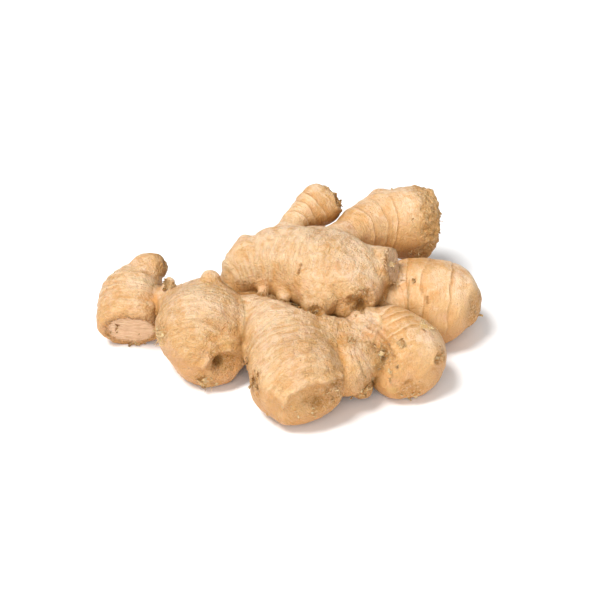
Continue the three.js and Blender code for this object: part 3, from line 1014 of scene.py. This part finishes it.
class GingerSettings(bpy.types.PropertyGroup):
    """Sizes, colours and lights that a user would change."""

    voxel: bpy.props.FloatProperty(
        name="Voxel",
        description="Spacing of the rhizome's mesh",
        default=0.00078,
        subtype="DISTANCE",
        unit="LENGTH",
    )
    relief: bpy.props.FloatProperty(name="Relief", description="Share of the full relief", default=1.0)
    skin_pale: colour_property("Pale skin", "Lighter patches of skin", (0.69, 0.415, 0.18))
    skin_tan: colour_property("Tan skin", "Darker patches of skin", (0.62, 0.335, 0.115))
    skin_warm: colour_property("Warm skin", "Pinkish patches", (0.66, 0.375, 0.21))
    skin_olive: colour_property("Olive skin", "Yellower patches", (0.60, 0.36, 0.12))
    # brown of real blotches and rough places, and also the colour of the painted shade on undersides, in
    # dips and behind ring steps
    painted_shade_and_blotch: colour_property("Shaded skin", "Brown blotches, and painted shade on undersides, in dips and behind ring steps", (0.61, 0.275, 0.065))
    skin_light: colour_property("Light fibres", "Dry raised fibres and ring lips", (0.80, 0.58, 0.35))
    # colour of the painted highlight on the upper sides
    painted_top_highlight: colour_property("Top highlight", "Painted highlight on the upper sides", (0.86, 0.65, 0.46))
    skin_brown: colour_property("Brown fibres", "Darker fibres and mottling", (0.40, 0.205, 0.075))
    ring_brown: colour_property("Ring brown", "Under the ring lips, pores and scars", (0.26, 0.11, 0.025))
    scar_brown: colour_property("Scar brown", "Rough places and pits of corky tips", (0.42, 0.19, 0.035))
    # colour of the painted shade in the creases between the lobes
    painted_crease_shade: colour_property("Crease shade", "Painted shade between the lobes", (0.30, 0.135, 0.025))
    cork: colour_property("Cork", "Corky tips", (0.61, 0.335, 0.115))
    flesh: colour_property("Cut face", "Dried cut ends", (0.66, 0.41, 0.235))
    young: colour_property("Young shoot", "Buds and torn shoots", (0.66, 0.46, 0.15))
    scale_straw: colour_property("Scale straw", "Papery scale leaves", (0.66, 0.48, 0.25))
    scale_brown: colour_property("Scale brown", "Dried edges of the scale leaves", (0.30, 0.15, 0.045))
    fibre_straw: colour_property("Fibre straw", "Root fibres", (0.64, 0.46, 0.24))
    key_power: bpy.props.FloatProperty(
        name="Key light", description="Power of the key light", default=35, unit="POWER"
    )
    front_power: bpy.props.FloatProperty(
        name="Front light", description="Power of the light in front", default=9.5, unit="POWER"
    )
    world_level: bpy.props.FloatProperty(
        name="World", description="Strength of the light all round", default=0.4
    )


# ---- operators ----


# Where a young shoot shows, each with its reach in mm.
YOUNG_PLACES = [((57.6, -38, 31), 3), ((-54.7, -34, 21), 3), ((-36, -43, 6), 2.5), ((44, -55, 10), 3)]
SETTLE_ROUNDS = 3
SETTLE_REACH = 1.2  # how far a point moves in one round, mm
SETTLE_EVEN = 0.35  # share of the way that it then moves to the middle of its neighbours
LOWEST = 0.02  # clearance of the skin over the surface that it rests on, mm
NEAR, FAR = 2, 6  # how far out from the skin its neighbours are looked for, mm
FACING_ROUNDS = 6  # how widely the lie of the surface is averaged
DIP_ROUNDS = 10  # how wide a dip of the relief may be


def remeshed(tubes, voxel):
    """The tubes as one closed mesh of even small faces."""
    select_only(*tubes)
    bpy.ops.object.join()
    hand = bpy.context.active_object
    hand.name = hand.data.name = "ginger_hand"
    bpy.ops.object.transform_apply(location=True, rotation=True, scale=True)
    remesh = hand.modifiers.new("Remesh", "REMESH")
    remesh.mode = "VOXEL"
    remesh.voxel_size = voxel
    bpy.ops.object.modifier_apply(modifier=remesh.name)
    keep_outer_shell(hand)
    if not sealed(hand):
        raise RuntimeError("the mesh of the rhizome is open")
    return hand


def settle(hand, pairs):
    """Draws the mesh onto the smooth surface of all bodies grown together, and returns its points."""
    points = coordinates(hand)
    for _ in range(SETTLE_ROUNDS):
        move = np.clip(depth_at(points), -SETTLE_REACH, SETTLE_REACH)
        set_coordinates(hand, points)
        points = points - normals(hand) * move[:, None]
        points = points + SETTLE_EVEN * (averaged(points, pairs, 1) - points)
    set_coordinates(hand, points)
    return points


def surface_masks(hand, points, pairs, skin):
    """The values of SURFACE_MASKS: painted shade in creases, on undersides and in dips, a painted
    highlight on upper sides, and young shoots.
    """
    out = normals(hand)
    near = depth_at(points + NEAR * out)
    far = depth_at(points + FAR * out)
    # painted shade: darker where other fingers close in on the skin
    hollow = 0.6 * (1 - smoothstep(-0.2, 1.5, near)) + 0.4 * (1 - smoothstep(0.5, 4.5, far))
    facing = averaged(out[:, 2], pairs, FACING_ROUNDS)
    # how far each point lies below the mean of its neighbours, for the painted shade in dips
    sunk = ((averaged(points, pairs, DIP_ROUNDS) - points) * out).sum(1)
    shoots = [1 - smoothstep(0.3, 1.1, skin.away_from(place) / reach) for place, reach in YOUNG_PLACES]
    return (
        averaged(hollow, pairs, 2),
        # painted shade on the sides that face down
        smoothstep(-0.5, 0.6, -facing),
        # painted highlight on the sides that face up
        smoothstep(0.3, 0.95, facing),
        averaged(sunk, pairs, 1),
        np.max(shoots, axis=0),
    )


class GINGER_OT_rhizome(bpy.types.Operator):
    """Model the rhizome: fingers, joins, relief and skin"""

    bl_idname = "ginger.rhizome"
    bl_label = "Rhizome"

    def execute(self, context):
        settings = context.scene.ginger
        deselect_all()
        hand = remeshed([obj for spine in SPINES for obj in add_tube(spine)], settings.voxel)
        pairs = read(hand.data.edges, "vertices", np.int32, 2)
        points = settle(hand, pairs)
        skin = Skin(points, pairs)
        points = points + normals(hand) * (settings.relief * skin.lift())[:, None]
        points[:, 2] = np.maximum(points[:, 2], LOWEST)
        set_coordinates(hand, points)
        for name in ("fibre", *SKIN_MASKS):
            set_attribute(hand, name, getattr(skin, name))
        for name, values in zip(SURFACE_MASKS, surface_masks(hand, points, pairs, skin)):
            set_attribute(hand, name, values)
        select_only(hand)
        bpy.ops.object.shade_smooth()
        dress(hand, skin_finish(settings))
        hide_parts(NODE)
        return {"FINISHED"}


def dress(piece, material):
    """Gives a piece its finish and its place on the hand."""
    piece.data.materials.clear()
    piece.data.materials.append(material)
    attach(piece, "root")


SCATTER = 0.55  # share of its spread within which most of a scattered group lies


class Ground:
    """The finished surface of the hand, for what grows on it."""

    def __init__(self):
        mesh = bpy.data.objects["ginger_hand"].data
        corners = [p.vertices for p in mesh.polygons]
        self.tree = BVHTree.FromPolygons([v.co for v in mesh.vertices], corners)

    def near(self, place, spread, rng):
        """A random point of the surface near a place of the skeleton, in mm, and its normal there."""
        guess = placed(place) + rng.normal(size=3) * spread * SCATTER
        at, normal, _, _ = self.tree.find_nearest(Vector(guess) * MM)
        return np.array(at) / MM, np.array(normal)


# Where dry scraps of scale leaf still hold on: the place, how many, how widely, their length, and
# how brown they are.
SCALE_PATCHES = [
    ((-51.5, -5, 29), 9, 3, 3.4, 0.6),
    ((-57, -11, 19), 5, 4, 2.6, 0.8),
    ((-53, -34, 25), 7, 4, 3, 0.3),
    ((-36, -43, 6), 7, 5, 2.8, 0.3),
    ((-78, -14, 8), 6, 5, 2.4, 0.5),
    ((-68, -13, 2), 7, 7, 2.4, 0.5),
    ((-18, -50, 24), 5, 2.5, 3.4, 0.9),
    ((-14, -65, 22), 9, 5, 2.8, 0.9),
    ((-24, -35, 26), 5, 4, 2.6, 0.4),
    ((3, -76, 13), 8, 9, 2.2, 0.2),
    ((19, -71, 19), 8, 5, 2.4, 0.2),
    ((38, -49, 24), 14, 6, 3.6, 0.5),
    ((33, -56, 13), 6, 5, 3, 0.4),
    ((26, -46.4, 30), 5, 1.8, 3, 0.4),
    ((50, -54, 6), 10, 9, 2.4, 0.2),
    ((63, -48, 23), 4, 3, 2.2, 0.4),
    ((31, -29, 37), 10, 6, 2.8, 0.5),
    ((46, -9, 38), 8, 6, 2.4, 0.4),
    ((11, -30, 31), 7, 4, 2.4, 0.4),
    ((64, 33, 38), 12, 9, 2.2, 0.7),
    ((22, 33, 47), 6, 5, 2, 0.8),
    ((57.6, -38, 32), 3, 2, 3, 0.1),
    ((80, -8, 16), 6, 9, 2, 0.3),
]


SCRAP_WALL = 0.14 * MM
SCRAP_ROOT = 0.35  # how deep a scrap's held edge sits in the skin, mm
SCRAP_LOWEST = 0.15  # clearance over the surface, mm


class GINGER_OT_dry_scales(bpy.types.Operator):
    """Model the scraps of dry scale leaf that stand off the skin"""

    bl_idname = "ginger.dry_scales"
    bl_label = "Dry Scales"

    def execute(self, context):
        rng = np.random.default_rng(SEED + 7)
        ground = Ground()
        scraps = []
        for at, count, spread, length, tint in SCALE_PATCHES:
            for _ in range(count):
                scraps.append(add_scrap(*ground.near(at, spread, rng), length, tint, rng))
        select_only(*scraps)
        bpy.ops.object.join()
        scales = context.active_object
        scales.name = scales.data.name = "dry_scales"
        wall = scales.modifiers.new("Solidify", "SOLIDIFY")
        wall.thickness = SCRAP_WALL
        bpy.ops.object.modifier_apply(modifier=wall.name)
        bpy.ops.object.shade_smooth_by_angle(angle=math.radians(40))
        dress(scales, scale_finish(context.scene.ginger))
        return {"FINISHED"}


def add_scrap(place, normal, usual_length, usual_tint, rng):
    """One curled scrap: u runs from the edge that is held to the torn far edge, and v across."""
    deselect_all()
    bpy.ops.mesh.primitive_grid_add(x_subdivisions=6, y_subdivisions=5, size=1)
    scrap = bpy.context.active_object
    grid = np.array([v.co for v in scrap.data.vertices])
    u, v = grid[:, 0] + 0.5, grid[:, 1]
    along = unit(np.cross(normal, rng.normal(size=3)))
    across = np.cross(normal, along)
    length = usual_length * rng.uniform(0.6, 1.25)
    width = length * rng.uniform(0.45, 1.1)
    lift = rng.uniform(0.1, 0.75)
    torn = 1 - 0.45 * np.abs(np.sin(7 * v + rng.uniform(0, 6))) * u
    out = length * u * torn
    aside = width * v * (1 - 0.35 * u)
    curl = 0.9 * rng.uniform(-0.2, 0.6)
    rise = lift * length * u**1.6 - SCRAP_ROOT + curl * width * v**2
    points = place + np.outer(out, along) + np.outer(aside, across) + np.outer(rise, normal)
    points[:, 2] = np.maximum(points[:, 2], SCRAP_LOWEST)
    set_coordinates(scrap, points)
    tint = np.clip(usual_tint + rng.uniform(-0.35, 0.35) + 0.3 * (u - 0.5), 0, 1)
    set_attribute(scrap, "tint", tint)
    return scrap


# Tufts of root fibre: the place, how many, how widely, their length and which way they lean.
FIBRE_TUFTS = [
    ((-11.5, -15, 30.5), 9, 1.8, 3.5, (0, -0.3, -0.6)),
    ((-2, -21, 31), 12, 2.4, 4, (0.2, -0.3, -0.8)),
    ((4, -22, 28), 5, 2, 4, (0.1, -0.5, -0.8)),
    ((11, -30, 30), 8, 4, 2.4, (0, -0.2, -0.4)),
    ((19, -27, 26), 6, 3, 3.6, (0.1, -0.6, -0.8)),
    ((26, -25, 27), 12, 3, 3.4, (0.1, -0.4, -0.8)),
    ((31, -29, 38), 16, 6, 2.8, (0.3, -0.4, -0.3)),
    ((41, -15, 30), 9, 4, 3.2, (0.5, -0.4, -0.5)),
    ((47, -9, 33), 9, 3, 3, (0.7, -0.2, -0.4)),
    ((63, 25.5, 31), 3, 1.5, 3.6, (0.4, -0.3, -0.5)),
    ((56, 24.5, 28), 3, 1.5, 3.4, (0.1, -0.4, -0.8)),
    ((64, 33, 38), 8, 8, 2, (0.5, 0, 0)),
    ((22, 33, 47), 6, 4, 1.8, (0.5, 0, 0)),
    ((-51.5, -5, 29), 7, 3, 2.8, (0.2, 0, 0.2)),
    ((-53, -34, 22), 7, 3, 3, (-0.4, -0.4, -0.3)),
    ((-36, -43, 7), 8, 4, 2.6, (0, -0.5, -0.2)),
    ((39, -49, 24), 18, 5, 3, (0.4, -0.2, 0.1)),
    ((26, -46.4, 30), 7, 1.5, 3, (0, -0.2, 0.3)),
    ((33, -57, 12), 6, 4, 2.4, (0, -0.4, -0.3)),
    ((-15, -62, 21), 6, 5, 2.4, (-0.5, -0.3, 0)),
    ((5, 14, 4), 12, 12, 4, (0, 0.4, -0.2)),
    ((45, 12, 14), 8, 9, 3.4, (0, 0.4, -0.2)),
    ((-25, 5, 16), 10, 10, 3.6, (0, 0.5, -0.2)),
]


FIBRE_RESOLUTION = 1
FIBRE_POINTS = 6
FIBRE_ROOT = 0.5  # how deep a fibre starts in the skin, mm
FIBRE_LOWEST = 0.25  # clearance of its centre line over the surface, mm


class GINGER_OT_root_fibres(bpy.types.Operator):
    """Model the tufts of thin dry root fibre"""

    bl_idname = "ginger.root_fibres"
    bl_label = "Root Fibres"

    def execute(self, context):
        rng = np.random.default_rng(SEED + 9)
        ground = Ground()
        deselect_all()
        fibres = add_curve(FIBRE_RESOLUTION)
        for at, count, spread, length, lean in FIBRE_TUFTS:
            for _ in range(count):
                add_fibre(fibres.data, *ground.near(at, spread, rng), length, lean, rng)
        bpy.ops.object.convert(target="MESH")
        fibres = context.active_object
        fibres.name = fibres.data.name = "root_fibres"
        select_only(fibres)
        bpy.ops.object.transform_apply(location=True, rotation=True, scale=True)
        bpy.ops.object.shade_smooth_by_angle(angle=math.radians(60))
        dress(fibres, fibre_finish(context.scene.ginger))
        return {"FINISHED"}


def add_fibre(curve, place, normal, usual_length, lean, rng):
    """One bent fibre that thins towards its tip."""
    steps = FIBRE_POINTS - 1
    length = usual_length * rng.uniform(0.5, 1.3)
    heading = normal * 0.8 + np.array(lean) + 0.45 * rng.normal(size=3)
    turn = rng.normal(size=3) * 0.28
    spline = curve.splines.new("POLY")
    spline.points.add(steps)
    at = place - FIBRE_ROOT * normal
    thick = rng.uniform(0.13, 0.24)
    for i, point in enumerate(spline.points):
        point.co = (*(at * MM), 1)
        point.radius = thick * (1 - 0.75 * i / steps)
        heading = unit(heading) + turn
        at = at + unit(heading) * (length + FIBRE_ROOT) / steps
        at[2] = max(at[2], FIBRE_LOWEST)


FLOOR_SIZE = 6
FLOOR_LOOK = {"Base Color": (0.96, 0.96, 0.96, 1), "Roughness": 0.7, "Specular IOR Level": 0.2}
KEY_PLACE = (-0.62, -0.45, 1.62)
KEY_SIZE = 0.7
FRONT_PLACE = (-0.05, -1.2, 0.87)
FRONT_SIZE = 1.0
CAMERA_TILT = math.radians(36)  # how far the camera looks down
CAMERA_LENS = 100.0  # mm
CAMERA_AWAY = 0.7407
CAMERA_TARGET = Vector((0.0052, 0.01, 0.018))


class GINGER_OT_stage(bpy.types.Operator):
    """Lay the pale surface and set the lights and the camera"""

    bl_idname = "ginger.stage"
    bl_label = "Stage"

    def execute(self, context):
        settings = context.scene.ginger
        deselect_all()
        bpy.ops.mesh.primitive_plane_add(size=FLOOR_SIZE, location=(0, 0, 0))
        floor = context.active_object
        floor.name = "surface"
        finish = Finish("surface")
        for name, value in FLOOR_LOOK.items():
            finish.put(finish.shader.inputs[name], value)
        floor.data.materials.append(finish.material)
        add_light("key", KEY_PLACE, KEY_SIZE, settings.key_power)
        add_light("front", FRONT_PLACE, FRONT_SIZE, settings.front_power)
        world = bpy.data.worlds.new("studio")
        world.use_nodes = True
        background = world.node_tree.nodes["Background"]
        background.inputs["Color"].default_value = (1, 1, 1, 1)
        background.inputs["Strength"].default_value = settings.world_level
        context.scene.world = world
        context.scene.view_settings.view_transform = "Standard"
        add_camera(context)
        return {"FINISHED"}


def turned_to(obj, heading):
    """Turns a light or a camera so that it looks along heading."""
    obj.rotation_euler = heading.to_track_quat("-Z", "Y").to_euler()


def add_light(name, place, size, power):
    """A round area light that shines at the middle of the surface."""
    bpy.ops.object.light_add(type="AREA", location=place)
    light = bpy.context.active_object
    light.name = name
    light.data.shape = "DISK"
    light.data.size = size
    light.data.energy = power
    turned_to(light, -Vector(place))


def add_camera(context):
    """The camera, in front of the hand and looking down on it."""
    back = Vector((0, -math.cos(CAMERA_TILT), math.sin(CAMERA_TILT)))
    bpy.ops.object.camera_add(location=CAMERA_TARGET + back * CAMERA_AWAY)
    camera = context.active_object
    camera.data.lens = CAMERA_LENS
    turned_to(camera, -back)
    context.scene.camera = camera


class GINGER_PT_panel(bpy.types.Panel):
    """Buttons for the pieces of the hand of ginger"""

    bl_label = "Hand of Ginger"
    bl_idname = "GINGER_PT_panel"
    bl_space_type = "VIEW_3D"
    bl_region_type = "UI"
    bl_category = "Ginger"

    def draw(self, context):
        for name in GingerSettings.__annotations__:
            self.layout.prop(context.scene.ginger, name)
        for operator in OPERATORS:
            self.layout.operator(operator.bl_idname)


OPERATORS = (GINGER_OT_rhizome, GINGER_OT_dry_scales, GINGER_OT_root_fibres, GINGER_OT_stage)
CLASSES = (GingerSettings, *OPERATORS, GINGER_PT_panel)


def register():
    for cls in CLASSES:
        bpy.utils.register_class(cls)
    bpy.types.Scene.ginger = bpy.props.PointerProperty(type=GingerSettings)


def unregister():
    del bpy.types.Scene.ginger
    for cls in reversed(CLASSES):
        bpy.utils.unregister_class(cls)


def main():
    register()
    bpy.ops.ginger.rhizome()
    bpy.ops.ginger.dry_scales()
    bpy.ops.ginger.root_fibres()
    bpy.ops.ginger.stage()


if __name__ == "__main__":
    main()
